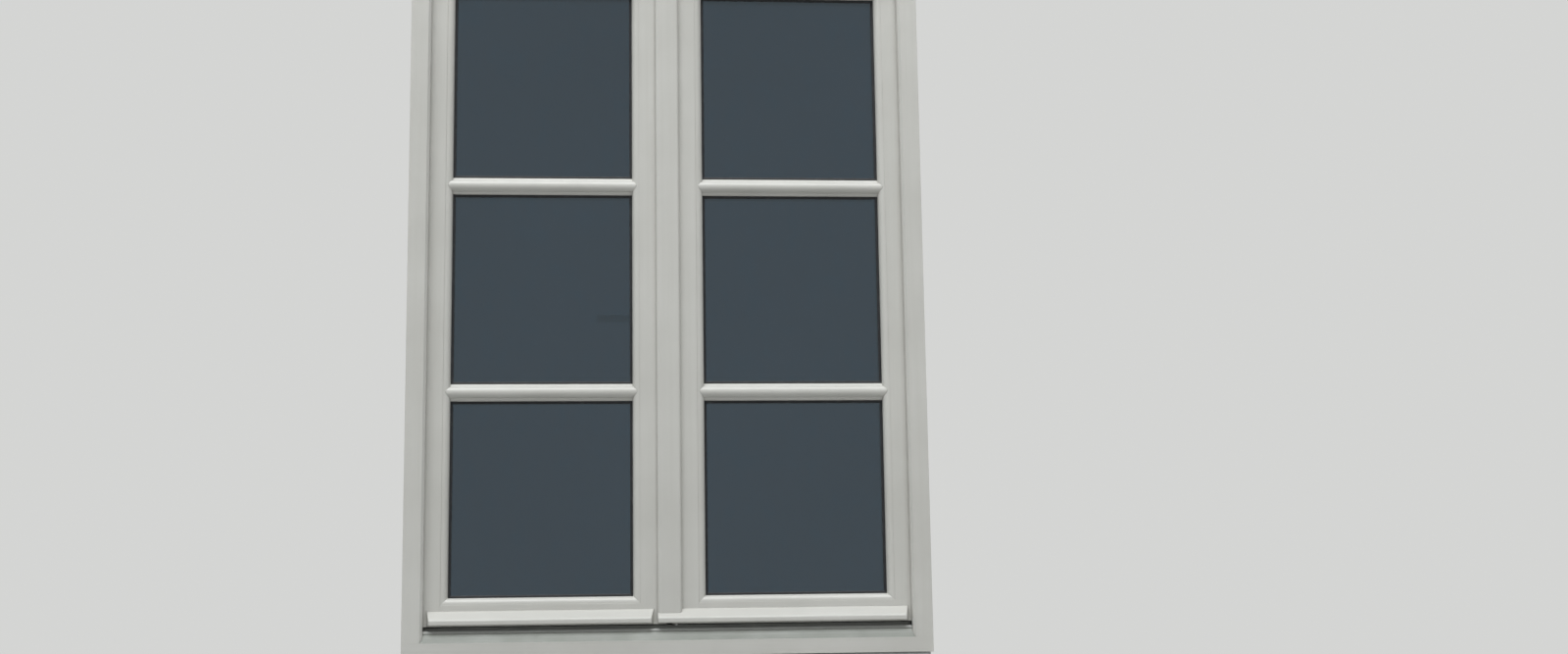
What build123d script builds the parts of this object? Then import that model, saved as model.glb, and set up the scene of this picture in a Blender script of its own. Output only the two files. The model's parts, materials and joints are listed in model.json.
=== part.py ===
from build123d import *
import os
from math import acos, cos, pi, radians, sin, sqrt, tan

os.makedirs("parts", exist_ok=True)

# Sight sizes, seen from outside
PANE_WIDTH = 366.0
PANE_HEIGHT = 393.0
PANE_ROWS = 3
BAR_WIDTH = 35.0
MEETING_SIGHT = 145.0
STILE_SIGHT = 46.5
BOTTOM_RAIL_HEIGHT = 56.0
FRAME_FACE = 40.0

# Frame section
FRAME_DEPTH = 68.0
FRAME_LIP = 9.0
FRAME_LIP_DEPTH = 20.0
FRAME_BEVEL = 5.0
SILL_HEIGHT = 52.0
SILL_FACE = 29.8
SILL_BEVEL_TOP = 38.6
SILL_BEVEL_DEPTH = 6.0
SILL_SLOPE_DEPTH = 14.0

# Leaf section
LEAF_AIR = 4.5
LEAF_BOTTOM_AIR = 10.0
LEAF_FACE_GAP = 1.0
LEAF_LAP = 12.0
LEAF_LAP_DEPTH = 15.0
SEAL_SPACE = 4.0
REBATE = 14.0
QUIRK = 1.0
GLASS_SETBACK = 18.0
LAP_ARRIS = 3.0
TENON_LENGTH = 30.0
TENON_FRONT = 31.0
TENON_THICKNESS = 16.0
TENON_SHOULDER = 6.0

# Meeting of the leaves
MEETING_GAP = 12.0
MEETING_LAP = 14.0
LAP_SIDE_GAP = 3.0
ASTRAGAL_WIDTH = 48.0
ASTRAGAL_DEPTH = 11.0
ASTRAGAL_ROUND = 5.0
ASTRAGAL_TOP_GAP = 3.0
COVER_CLEARANCE = 1.0

# Sealed unit, beads and glazing bars
GLASS_SHEET = 4.0
GLASS_CAVITY = 16.0
GLASS_COVER = 11.0
SPACER_WIDTH = 7.0
CROSS_BAR_WIDTH = 20.0
CROSS_BAR_INSET = 1.0
BEAD_HEIGHT = 21.0
BEAD_FOOT = 5.0
BEAD_TOP = 6.0
BEAD_JOINT = 0.1
OUTER_BAR_HEIGHT = 16.5
OUTER_BAR_FOOT = 2.0
BAR_SHOULDER = 6.0
BAR_SHOULDER_HEIGHT = 8.0
INNER_BAR_HEIGHT = 14.0
INNER_BAR_BEVEL = 6.0
BLOCK_LENGTH = 100.0
BLOCK_FROM_CORNER = 60.0

# Weather bars and rain rail
WEATHER_BAR_TOP = 92.8
WEATHER_BAR_BOTTOM = 63.5
WEATHER_BAR_NOSE = 75.5
WEATHER_BAR_DEPTH = 21.0
WEATHER_BAR_ROUND = 3.5
WEATHER_BAR_SIDE_GAP = 6.5
WEATHER_BAR_END_BEVEL = 5.5
WEATHER_BAR_JOINT = 7.5
DRIP_GROOVE = 2.0
RAIN_RAIL_SHEET = 1.6
RAIN_RAIL_FOOT = 20.6
RAIN_RAIL_LEG = 5.0
RAIN_RAIL_UPSTAND = 6.5
RAIN_RAIL_END_GAP = 1.0

# Leaf seal
SEAL_WIDTH = 5.0
SEAL_HEIGHT = 3.7
SEAL_FROM_EDGE = 3.0

# Hinges
HINGE_OFFSET = 8.0
HINGE_RADIUS = 7.0
HINGE_HALF = 38.0
HINGE_SPLIT = 0.4
HINGE_PIN_RADIUS = 4.0
HINGE_PIN_LENGTH = 28.0
HINGE_BORE_CLEARANCE = 0.08
HINGE_STUD_RADIUS = 4.0
HINGE_STUD_LENGTH = 42.0
HINGE_STUD_PITCH = 20.0
HINGE_STUD_CLEARANCE = 0.05
HINGE_FROM_CORNER = 150.0
HINGE_CHAMFER = 1.5

# Lock of the active leaf
HANDLE_HEIGHT = 700.0
BACKSET = 22.0
LOCK_Y = 12.0
LOCK_MODULE = 1.5
PINION_TEETH = 16
PINION_WIDTH = 8.0
PINION_HUB_RADIUS = 8.5
HUB_CLEARANCE = 0.08
PRESSURE_ANGLE = 20.0
BACKLASH = 0.2
ROD_WIDTH = 10.0
ROD_THICKNESS = 5.0
RACK_LEAD_TEETH = 2
ARM_HEIGHT = 7.0
SPINDLE_SIDE = 7.0
SPINDLE_CLEARANCE = 0.1
CASE_WALL = 1.5
CASE_SIDE_WALL = 2.0
CASE_CLEARANCE = 0.5
FACEPLATE_THICKNESS = 2.5
FACEPLATE_WIDTH = 18.0
FACEPLATE_END = 2.0
TOP_END_INSET = 6.0
BOTTOM_END_INSET = 1.0
GROOVE_CLEARANCE = 0.5

# Handle
ROSE_WIDTH = 32.0
ROSE_HEIGHT = 68.0
ROSE_THICKNESS = 10.0
ROSE_CHAMFER = 2.5
NECK_RADIUS = 8.0
NECK_GAP = 0.3
NECK_SPIGOT_RADIUS = 6.5
NECK_SPIGOT_LENGTH = 6.0
LEVER_REACH = 118.0
LEVER_STAND = 43.0
LEVER_BEND = 12.0
LEVER_HEIGHT = 18.0
LEVER_DEPTH = 12.0
LEVER_BEVEL = 3.5
LEVER_CHAMFER = 1.5

# Edge bolts of the passive leaf
BOLT_WIDTH = 8.0
BOLT_THICKNESS = 6.0
BOLT_LENGTH = 110.0
BOLT_TRAVEL = 18.0
BOLT_PLATE_LENGTH = 140.0
THUMB_LENGTH = 12.0
THUMB_WIDTH = 6.0
THUMB_PROUD = 2.0
THUMB_FROM_END = 60.0

# Keeps and wall fixings
KEEP_THICKNESS = 2.0
KEEP_LENGTH = 68.0
KEEP_WIDTH = 16.0
KEEP_POCKET = 20.0
KEEP_CLEARANCE = 0.5
FIXING_RADIUS = 3.75
FIXING_FROM_END = 160.0

# Places worked out from the sizes above, seen from outside: X right, Y into the room, Z up
frame_front = -FRAME_DEPTH / 2
frame_back = FRAME_DEPTH / 2
lip_back = frame_front + FRAME_LIP_DEPTH
leaf_front = lip_back + LEAF_FACE_GAP
lap_front = frame_back + SEAL_SPACE
leaf_back = lap_front + LEAF_LAP_DEPTH
glass_front = leaf_front + GLASS_SETBACK
glass_back = glass_front + 2 * GLASS_SHEET + GLASS_CAVITY

pane_in = MEETING_SIGHT / 2
pane_out = pane_in + PANE_WIDTH
opening_x = pane_out + STILE_SIGHT
frame_x = opening_x + FRAME_FACE
rebate_x = opening_x + FRAME_LIP
leaf_bottom = SILL_HEIGHT + LEAF_BOTTOM_AIR
pane_bottom = leaf_bottom + BOTTOM_RAIL_HEIGHT
pane_top = pane_bottom + PANE_ROWS * PANE_HEIGHT + (PANE_ROWS - 1) * BAR_WIDTH
opening_top = pane_top + STILE_SIGHT
frame_top = opening_top + FRAME_FACE
rebate_top = opening_top + FRAME_LIP

hinge_body = STILE_SIGHT + FRAME_LIP - LEAF_AIR
hinge_lap = hinge_body + LEAF_AIR + LEAF_LAP
meeting_body = pane_in - MEETING_GAP / 2
meeting_lap = pane_in + MEETING_LAP
bottom_lap = BOTTOM_RAIL_HEIGHT + LEAF_BOTTOM_AIR + LEAF_LAP
leaf_top = pane_top + hinge_body
lap_top = pane_top + hinge_lap
lap_bottom = pane_bottom - bottom_lap
tenon_front = leaf_front + TENON_FRONT

hinge_x = pane_out + hinge_lap + HINGE_OFFSET
hinge_y = lap_front + LEAF_LAP_DEPTH / 2
hinge_heights = (leaf_bottom + HINGE_FROM_CORNER, leaf_top - HINGE_FROM_CORNER)
bar_heights = [
    pane_bottom + row * (PANE_HEIGHT + BAR_WIDTH) - BAR_WIDTH / 2 for row in range(1, PANE_ROWS)
]

edge_x = MEETING_GAP / 2
pinion_x = -edge_x - BACKSET
pitch_radius = LOCK_MODULE * PINION_TEETH / 2
tooth_pitch = pi * LOCK_MODULE
addendum = LOCK_MODULE
dedendum = 1.25 * LOCK_MODULE
rod_travel = pitch_radius * pi / 2
rack_rows = range(-RACK_LEAD_TEETH, PINION_TEETH // 4 + RACK_LEAD_TEETH)
rod_in = pinion_x + pitch_radius + dedendum
rod_out = rod_in + ROD_THICKNESS
strip_in = pinion_x - pitch_radius - dedendum
strip_out = strip_in - ROD_THICKNESS
rack_reach = (PINION_TEETH // 4 + RACK_LEAD_TEETH) * tooth_pitch
arm_top = HANDLE_HEIGHT - rack_reach - 2 * CASE_CLEARANCE
arm_bottom = arm_top - ARM_HEIGHT
case_left = strip_out - CASE_CLEARANCE - CASE_WALL
case_right = -edge_x - FACEPLATE_THICKNESS
case_top = HANDLE_HEIGHT + rack_reach + CASE_CLEARANCE + CASE_WALL
case_bottom = arm_bottom - rod_travel - CASE_CLEARANCE - CASE_WALL
case_half = ROD_WIDTH / 2 + CASE_CLEARANCE + CASE_SIDE_WALL
bolt_in = edge_x + FACEPLATE_THICKNESS + CASE_CLEARANCE
weather_split = -ASTRAGAL_WIDTH / 2

X_AXIS = (1, 0, 0)
Y_AXIS = (0, 1, 0)


def write(piece, label):
    piece.part.label = label
    export_step(piece.part, f"parts/{label}.step")


def side_name(side):
    return "left" if side < 0 else "right"


def stick_plane(outward, start):
    """Plane of a stick's section: local x points away from the glass, local y into the room."""
    run = Vector(outward).cross(Vector(Y_AXIS))
    return Plane(origin=start, x_dir=outward, z_dir=run)


def block(x_span, y_span, z_span):
    """A plain box between three pairs of limits, kept private until it is added."""
    with BuildPart() as box:
        with BuildSketch(Plane.XY.offset(min(z_span))):
            with Locations((sum(x_span) / 2, sum(y_span) / 2)):
                Rectangle(abs(x_span[1] - x_span[0]), abs(y_span[1] - y_span[0]))
        extrude(amount=abs(z_span[1] - z_span[0]))
    return box.part


def moulding_section():
    """Quarter round with a small quirk, from the glass out to the face of the leaf."""
    radius = REBATE - QUIRK
    with BuildSketch() as section:
        with BuildLine():
            Polyline((radius, leaf_front + QUIRK), (REBATE, leaf_front + QUIRK), (REBATE, glass_front))
            Polyline((REBATE, glass_front), (0, glass_front), (0, leaf_front + QUIRK + radius))
            RadiusArc((0, leaf_front + QUIRK + radius), (radius, leaf_front + QUIRK), -radius)
        make_face()
    return section.sketch


def bead_section():
    """Glazing bead with a sloping face towards the glass."""
    with BuildSketch() as section:
        with BuildLine():
            Polyline(
                (REBATE, glass_back),
                (0, glass_back),
                (0, glass_back + BEAD_FOOT),
                (REBATE - BEAD_TOP, glass_back + BEAD_HEIGHT),
                (REBATE, glass_back + BEAD_HEIGHT),
                close=True,
            )
        make_face()
    return section.sketch


def mitred_stick(section, outward, start, length, width, joint=0.0):
    """A stick along one edge of the glass, both ends mitred over its width and set back by a joint."""
    plane = stick_plane(outward, start)
    cutter = Plane(origin=start, x_dir=outward, z_dir=Y_AXIS)
    turn = 1 if cutter.y_dir.dot(plane.z_dir) > 0 else -1
    with BuildPart() as stick:
        with BuildSketch(plane.offset(-width)):
            add(section)
        extrude(amount=length + 2 * width)
        with BuildSketch(cutter):
            ends = (joint, joint - width, length + width - joint, length - joint)
            corners = zip((0, width, width, 0), (turn * end for end in ends))
            Polygon(*corners, align=None)
        extrude(amount=FRAME_DEPTH, both=True, mode=Mode.INTERSECT)
    return stick.part


def glass_sticks(side, section, joint=0.0):
    """The four mitred sticks round the glass of one leaf, keyed by where they lie."""
    wide = PANE_WIDTH
    tall = pane_top - pane_bottom
    left = min(side * pane_in, side * pane_out)
    right = left + wide
    return {
        "right": mitred_stick(section, (1, 0, 0), (right, 0, pane_bottom), tall, REBATE, joint),
        "left": mitred_stick(section, (-1, 0, 0), (left, 0, pane_top), tall, REBATE, joint),
        "top": mitred_stick(section, (0, 0, 1), (right, 0, pane_top), wide, REBATE, joint),
        "bottom": mitred_stick(section, (0, 0, -1), (left, 0, pane_bottom), wide, REBATE, joint),
    }


def tenon(side, stile, top):
    """The blind tenon that a rail sets into one stile."""
    root = side * (pane_out + REBATE) if stile == "hinge" else side * (pane_in - REBATE)
    reach = side * TENON_LENGTH if stile == "hinge" else -side * TENON_LENGTH
    low, high = (pane_top + REBATE, leaf_top) if top else (leaf_bottom, pane_bottom - REBATE)
    return block(
        (root, root + reach),
        (tenon_front, tenon_front + TENON_THICKNESS),
        (low + TENON_SHOULDER, high - TENON_SHOULDER),
    )


def stile(side, kind, moulding):
    """One upright of a leaf with its laps and its rail mortises, before any hardware is let in."""
    outward = side if kind == "hinge" else -side
    sight = side * pane_out if kind == "hinge" else side * pane_in
    body = hinge_body if kind == "hinge" else meeting_body
    lap = hinge_lap if kind == "hinge" else (meeting_lap if side < 0 else meeting_body)
    inner = sight + outward * REBATE
    with BuildPart() as piece:
        with BuildSketch(Plane.XY.offset(lap_bottom)) as plan:
            with Locations((inner + outward * (lap - REBATE) / 2, (lap_front + leaf_back) / 2)):
                Rectangle(lap - REBATE, LEAF_LAP_DEPTH)
            corner = plan.vertices().group_by(Axis.X)[-1 if outward > 0 else 0].sort_by(Axis.Y)[-1]
            fillet(corner, radius=LAP_ARRIS)
        extrude(amount=lap_top - lap_bottom)
        add(block((inner, sight + outward * body), (leaf_front, lap_front), (leaf_bottom, leaf_top)))
        add(moulding["right" if outward > 0 else "left"])
        for top in (False, True):
            add(tenon(side, kind, top), mode=Mode.SUBTRACT)
    return piece


def rail(side, top, moulding):
    """One cross member of a leaf, between the stiles, with a tenon at each end."""
    sight = pane_top if top else pane_bottom
    up = 1 if top else -1
    body = hinge_body if top else BOTTOM_RAIL_HEIGHT
    lap = hinge_lap if top else bottom_lap
    span = (side * (pane_in - REBATE), side * (pane_out + REBATE))
    with BuildPart() as piece:
        with BuildSketch(Plane.YZ.offset(min(span))) as section:
            with Locations(((lap_front + leaf_back) / 2, sight + up * (lap + REBATE) / 2)):
                Rectangle(LEAF_LAP_DEPTH, lap - REBATE)
            corner = section.vertices().group_by(Axis.Y)[-1 if top else 0].sort_by(Axis.X)[-1]
            fillet(corner, radius=LAP_ARRIS)
        extrude(amount=abs(span[1] - span[0]))
        add(block(span, (leaf_front, lap_front), (sight + up * REBATE, sight + up * body)))
        add(moulding["top" if top else "bottom"])
        for kind in ("hinge", "meeting"):
            add(tenon(side, kind, top))
    return piece


def stud_holes(side):
    """Borings in a hinge stile for the studs of its two hinges."""
    with BuildPart() as holes:
        for height in hinge_heights:
            for step in (-0.5, 0.5):
                lift = height + HINGE_SPLIT / 2 + HINGE_HALF / 2 + step * HINGE_STUD_PITCH
                with BuildSketch(Plane(origin=(side * hinge_x, hinge_y, lift), z_dir=(-side, 0, 0))):
                    Circle(HINGE_STUD_RADIUS + HINGE_STUD_CLEARANCE)
                extrude(amount=HINGE_STUD_LENGTH + HINGE_STUD_CLEARANCE)
    return holes.part


def lock_recesses():
    """Faceplate housing, rod groove, case mortise and handle borings in the active meeting stile."""
    with BuildPart() as cuts:
        add(
            block(
                (-edge_x - FACEPLATE_THICKNESS, 0),
                (LOCK_Y - FACEPLATE_WIDTH / 2, LOCK_Y + FACEPLATE_WIDTH / 2),
                (leaf_bottom + FACEPLATE_END, leaf_top - FACEPLATE_END),
            )
        )
        add(
            block(
                (rod_in - GROOVE_CLEARANCE, 0),
                (LOCK_Y - ROD_WIDTH / 2 - GROOVE_CLEARANCE, LOCK_Y + ROD_WIDTH / 2 + GROOVE_CLEARANCE),
                (leaf_bottom, leaf_top),
            )
        )
        add(block((case_left, 0), (LOCK_Y - case_half, LOCK_Y + case_half), (case_bottom, case_top)))
        with BuildSketch(Plane(origin=(pinion_x, LOCK_Y, HANDLE_HEIGHT), x_dir=X_AXIS, z_dir=Y_AXIS)):
            Circle(PINION_HUB_RADIUS + CASE_CLEARANCE)
        extrude(amount=leaf_back - LOCK_Y)
    return cuts.part


def bolt_recesses():
    """Plate housings and bolt grooves in the edge of the passive meeting stile."""
    plate = (LOCK_Y - FACEPLATE_WIDTH / 2, LOCK_Y + FACEPLATE_WIDTH / 2)
    groove_half = BOLT_WIDTH / 2 + GROOVE_CLEARANCE
    groove = (LOCK_Y - groove_half, LOCK_Y + groove_half)
    with BuildPart() as cuts:
        for start in (leaf_bottom, leaf_top - BOLT_PLATE_LENGTH):
            run = (start, start + BOLT_PLATE_LENGTH)
            add(block((0, edge_x + FACEPLATE_THICKNESS), plate, run))
            add(block((0, bolt_in + BOLT_THICKNESS + GROOVE_CLEARANCE), groove, run))
    return cuts.part


def keep_holes(low, high):
    """Sockets for the rod of the active leaf and for the bolt of the passive leaf."""
    sockets = ((rod_in, ROD_THICKNESS, ROD_WIDTH), (bolt_in, BOLT_THICKNESS, BOLT_WIDTH))
    with BuildPart() as holes:
        for start, thickness, width in sockets:
            x_span = (start - KEEP_CLEARANCE, start + thickness + KEEP_CLEARANCE)
            half = width / 2 + KEEP_CLEARANCE
            add(block(x_span, (LOCK_Y - half, LOCK_Y + half), (low, high)))
    return holes.part


def sill_section():
    """Bottom rail of the frame: upright face, bevel and weathered slope up to the rebate."""
    with BuildSketch() as section:
        with BuildLine():
            Polyline(
                (frame_front, 0),
                (frame_front, SILL_FACE),
                (frame_front + SILL_BEVEL_DEPTH, SILL_BEVEL_TOP),
                (frame_front + SILL_SLOPE_DEPTH, SILL_HEIGHT),
                (frame_back, SILL_HEIGHT),
                (frame_back, 0),
                close=True,
            )
        make_face()
    return section.sketch


def sill_top():
    """The part of the bottom rail that stands between the jambs."""
    with BuildPart() as piece:
        with BuildSketch(Plane.YZ.offset(-rebate_x)):
            add(sill_section())
        extrude(amount=2 * rebate_x)
    return piece.part


def jamb_tenon(side):
    middle = side * (rebate_x + frame_x) / 2
    half = (frame_x - rebate_x) / 2 - TENON_SHOULDER
    thickness = (lip_back, lip_back + TENON_THICKNESS)
    return block((middle - half, middle + half), thickness, (TENON_SHOULDER, SILL_FACE))


def head_tenon(side):
    return block(
        (side * rebate_x, side * (rebate_x + TENON_LENGTH - TENON_SHOULDER)),
        (lip_back, lip_back + TENON_THICKNESS),
        (rebate_top + TENON_SHOULDER, frame_top - TENON_SHOULDER),
    )


def lip_section():
    """Outer lip of the frame with its bevelled arris."""
    with BuildSketch() as section:
        with BuildLine():
            Polyline(
                (FRAME_LIP, frame_front),
                (FRAME_BEVEL, frame_front),
                (0, frame_front + FRAME_BEVEL),
                (0, lip_back),
                (FRAME_LIP, lip_back),
                close=True,
            )
        make_face()
    return section.sketch


def fixing_heights():
    low, high = FIXING_FROM_END, frame_top - FIXING_FROM_END
    third = (high - low) / 3
    return [low, low + third, high - third, high]


def make_jamb(side):
    lip = mitred_stick(
        lip_section(),
        (side, 0, 0),
        (side * opening_x, 0, 0 if side > 0 else opening_top),
        opening_top,
        FRAME_LIP,
    )
    with BuildPart() as jamb:
        add(block((side * rebate_x, side * frame_x), (frame_front, frame_back), (SILL_FACE, frame_top)))
        add(lip)
        foot = (side * opening_x, side * rebate_x)
        add(block(foot, (frame_front, lip_back), (-FRAME_LIP, SILL_FACE)), mode=Mode.SUBTRACT)
        add(sill_top(), mode=Mode.SUBTRACT)
        add(jamb_tenon(side))
        add(head_tenon(side), mode=Mode.SUBTRACT)
        for height in hinge_heights:
            drop = height - HINGE_SPLIT / 2 - HINGE_HALF / 2
            with BuildSketch(Plane(origin=(side * hinge_x, hinge_y, drop), z_dir=(0, -1, 0))):
                Circle(HINGE_STUD_RADIUS + HINGE_STUD_CLEARANCE)
            extrude(amount=HINGE_STUD_LENGTH + HINGE_STUD_CLEARANCE, mode=Mode.SUBTRACT)
        for height in fixing_heights():
            with Locations(Plane(origin=(side * rebate_x, 0, height), z_dir=(-side, 0, 0))):
                Hole(FIXING_RADIUS, depth=FRAME_FACE)
    write(jamb, f"{side_name(side)}_jamb")


def make_head():
    lip = mitred_stick(
        lip_section(), (0, 0, 1), (opening_x, 0, opening_top), 2 * opening_x, FRAME_LIP
    )
    keep = (rebate_top, rebate_top + KEEP_THICKNESS)
    with BuildPart() as head:
        add(block((-rebate_x, rebate_x), (frame_front, frame_back), (rebate_top, frame_top)))
        add(lip)
        for side in (-1, 1):
            add(head_tenon(side))
        add(keep_plate_shape(keep), mode=Mode.SUBTRACT)
        add(keep_holes(rebate_top, rebate_top + KEEP_POCKET), mode=Mode.SUBTRACT)
    write(head, "frame_head")


def make_sill():
    keep = (SILL_HEIGHT - KEEP_THICKNESS, SILL_HEIGHT)
    with BuildPart() as sill:
        add(block((-frame_x, frame_x), (frame_front, frame_back), (0, SILL_FACE)))
        add(sill_top())
        for side in (-1, 1):
            add(jamb_tenon(side), mode=Mode.SUBTRACT)
        add(keep_plate_shape(keep), mode=Mode.SUBTRACT)
        add(keep_holes(SILL_HEIGHT - KEEP_POCKET, SILL_HEIGHT), mode=Mode.SUBTRACT)
    write(sill, "frame_bottom_rail")


def keep_plate_shape(span):
    with BuildPart() as plate:
        with BuildSketch(Plane.XY.offset(span[0])):
            with Locations((0, LOCK_Y)):
                SlotOverall(KEEP_LENGTH, KEEP_WIDTH)
        extrude(amount=span[1] - span[0])
    return plate.part


def make_keep(top):
    span = (rebate_top, rebate_top + KEEP_THICKNESS) if top else (SILL_HEIGHT - KEEP_THICKNESS, SILL_HEIGHT)
    with BuildPart() as keep:
        add(keep_plate_shape(span))
        add(keep_holes(*span), mode=Mode.SUBTRACT)
    write(keep, "head_keep" if top else "bottom_keep")


def make_rain_rail():
    """Aluminium drip rail: foot on the rebate, leg down the slope, upstand behind."""
    front = frame_front + SILL_SLOPE_DEPTH
    slope = Vector(SILL_BEVEL_DEPTH - SILL_SLOPE_DEPTH, SILL_BEVEL_TOP - SILL_HEIGHT).normalized()
    foot = Vector(front, SILL_HEIGHT)
    toe = foot + slope * RAIN_RAIL_LEG
    off = Vector(slope.Y, -slope.X) * RAIN_RAIL_SHEET
    back = front + RAIN_RAIL_FOOT
    top = SILL_HEIGHT + RAIN_RAIL_SHEET
    crown_x = foot.X + off.X + slope.X / slope.Y * (top - foot.Y - off.Y)
    with BuildPart() as rain_rail:
        with BuildSketch(Plane.YZ.offset(-opening_x + RAIN_RAIL_END_GAP)):
            with BuildLine():
                Polyline(
                    (foot.X, foot.Y),
                    (toe.X, toe.Y),
                    (toe.X + off.X, toe.Y + off.Y),
                    (crown_x, top),
                    (back - RAIN_RAIL_SHEET, top),
                    (back - RAIN_RAIL_SHEET, top + RAIN_RAIL_UPSTAND),
                    (back, top + RAIN_RAIL_UPSTAND),
                    (back, SILL_HEIGHT),
                    close=True,
                )
            make_face()
        extrude(amount=2 * (opening_x - RAIN_RAIL_END_GAP))
    write(rain_rail, "rain_rail")


def make_hinge(side, height, place):
    """Drill-in barrel hinge: the lower half with the pin on the frame, the upper half on the leaf."""
    low = height - HINGE_SPLIT / 2 - HINGE_HALF
    high = height + HINGE_SPLIT / 2 + HINGE_HALF
    with BuildPart() as frame_half:
        with BuildSketch(Plane(origin=(side * hinge_x, hinge_y, low))):
            Circle(HINGE_RADIUS)
        extrude(amount=HINGE_HALF)
        chamfer(frame_half.edges().filter_by(GeomType.CIRCLE).sort_by(Axis.Z)[0], length=HINGE_CHAMFER)
        with BuildSketch(Plane(origin=(side * hinge_x, hinge_y, low + HINGE_HALF))):
            Circle(HINGE_PIN_RADIUS)
        extrude(amount=HINGE_PIN_LENGTH)
        with BuildSketch(Plane(origin=(side * hinge_x, hinge_y, low + HINGE_HALF / 2), z_dir=(0, -1, 0))):
            Circle(HINGE_STUD_RADIUS)
        extrude(amount=HINGE_STUD_LENGTH)
    write(frame_half, f"{side_name(side)}_{place}_hinge_frame_half")
    with BuildPart() as leaf_half:
        with BuildSketch(Plane(origin=(side * hinge_x, hinge_y, high - HINGE_HALF))):
            Circle(HINGE_RADIUS)
        extrude(amount=HINGE_HALF)
        chamfer(leaf_half.edges().filter_by(GeomType.CIRCLE).sort_by(Axis.Z)[-1], length=HINGE_CHAMFER)
        for step in (-0.5, 0.5):
            lift = high - HINGE_HALF / 2 + step * HINGE_STUD_PITCH
            with BuildSketch(Plane(origin=(side * hinge_x, hinge_y, lift), z_dir=(-side, 0, 0))):
                Circle(HINGE_STUD_RADIUS)
            extrude(amount=HINGE_STUD_LENGTH)
        with BuildSketch(Plane(origin=(side * hinge_x, hinge_y, high - HINGE_HALF))):
            Circle(HINGE_PIN_RADIUS + HINGE_BORE_CLEARANCE)
        extrude(amount=HINGE_PIN_LENGTH + HINGE_SPLIT, mode=Mode.SUBTRACT)
    write(leaf_half, f"{side_name(side)}_{place}_hinge_leaf_half")


def make_leaf_timber(side):
    """Stiles and rails of one leaf, with their hardware let in."""
    name = side_name(side)
    moulding = glass_sticks(side, moulding_section())
    hinge_stile = stile(side, "hinge", moulding)
    with hinge_stile:
        add(stud_holes(side), mode=Mode.SUBTRACT)
    write(hinge_stile, f"{name}_hinge_stile")
    meeting_stile = stile(side, "meeting", moulding)
    with meeting_stile:
        if side < 0:
            add(lock_recesses(), mode=Mode.SUBTRACT)
        else:
            lap_end = MEETING_LAP + LAP_SIDE_GAP
            add(block((edge_x, lap_end), (frame_back, leaf_back), (lap_bottom, lap_top)), mode=Mode.SUBTRACT)
            add(bolt_recesses(), mode=Mode.SUBTRACT)
    write(meeting_stile, f"{name}_meeting_stile")
    write(rail(side, True, moulding), f"{name}_top_rail")
    write(rail(side, False, moulding), f"{name}_bottom_rail")


def make_glass(side):
    """Sealed unit of one leaf: two panes, the spacer with its cross bars, and the setting blocks."""
    name = side_name(side)
    x_span = sorted((side * (pane_in - GLASS_COVER), side * (pane_out + GLASS_COVER)))
    z_span = (pane_bottom - GLASS_COVER, pane_top + GLASS_COVER)
    cavity = (glass_front + GLASS_SHEET, glass_back - GLASS_SHEET)
    with BuildPart() as outer_pane:
        add(block(x_span, (glass_front, cavity[0]), z_span))
    write(outer_pane, f"{name}_outer_pane")
    with BuildPart() as inner_pane:
        add(block(x_span, (cavity[1], glass_back), z_span))
    write(inner_pane, f"{name}_inner_pane")
    middle = sum(x_span) / 2
    wide = x_span[1] - x_span[0]
    with BuildPart() as spacer:
        with BuildSketch(Plane(origin=(middle, cavity[0], sum(z_span) / 2), x_dir=X_AXIS, z_dir=(0, -1, 0))):
            Rectangle(wide, z_span[1] - z_span[0])
            Rectangle(wide - 2 * SPACER_WIDTH, z_span[1] - z_span[0] - 2 * SPACER_WIDTH, mode=Mode.SUBTRACT)
        extrude(amount=-GLASS_CAVITY)
        for height in bar_heights:
            add(
                block(
                    (x_span[0] + SPACER_WIDTH, x_span[1] - SPACER_WIDTH),
                    (cavity[0] + CROSS_BAR_INSET, cavity[1] - CROSS_BAR_INSET),
                    (height - CROSS_BAR_WIDTH / 2, height + CROSS_BAR_WIDTH / 2),
                )
            )
    write(spacer, f"{name}_spacer")
    gap = REBATE - GLASS_COVER
    ends = (x_span[0] + BLOCK_FROM_CORNER, x_span[1] - BLOCK_FROM_CORNER - BLOCK_LENGTH)
    with BuildPart() as blocks:
        for start in ends:
            add(block((start, start + BLOCK_LENGTH), (glass_front, glass_back), (z_span[0] - gap, z_span[0])))
        for edge, way, low in (
            (side * (pane_out + GLASS_COVER), side, z_span[0] + BLOCK_FROM_CORNER),
            (side * (pane_in - GLASS_COVER), -side, z_span[1] - BLOCK_FROM_CORNER - BLOCK_LENGTH),
        ):
            add(block((edge, edge + way * gap), (glass_front, glass_back), (low, low + BLOCK_LENGTH)))
    write(blocks, f"{name}_setting_blocks")
    with BuildPart() as beads:
        add(list(glass_sticks(side, bead_section(), BEAD_JOINT).values()))
    write(beads, f"{name}_beads")


def outer_bar_section():
    """Planted glazing bar: round nose between two small quirks, with quarter-round shoulders."""
    half = BAR_WIDTH / 2
    front = glass_front - OUTER_BAR_HEIGHT
    foot = glass_front - OUTER_BAR_FOOT
    step = glass_front - BAR_SHOULDER_HEIGHT
    nose = half - BAR_SHOULDER
    with BuildSketch() as section:
        with BuildLine():
            Polyline((foot, -half), (glass_front, -half), (glass_front, half), (foot, half))
            RadiusArc((foot, half), (step + QUIRK, nose), -BAR_SHOULDER_HEIGHT)
            Line((step + QUIRK, nose), (step, nose))
            ThreePointArc((step, nose), (front, 0), (step, -nose))
            Line((step, -nose), (step + QUIRK, -nose))
            RadiusArc((step + QUIRK, -nose), (foot, -half), -BAR_SHOULDER_HEIGHT)
        make_face()
    return section.sketch


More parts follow.
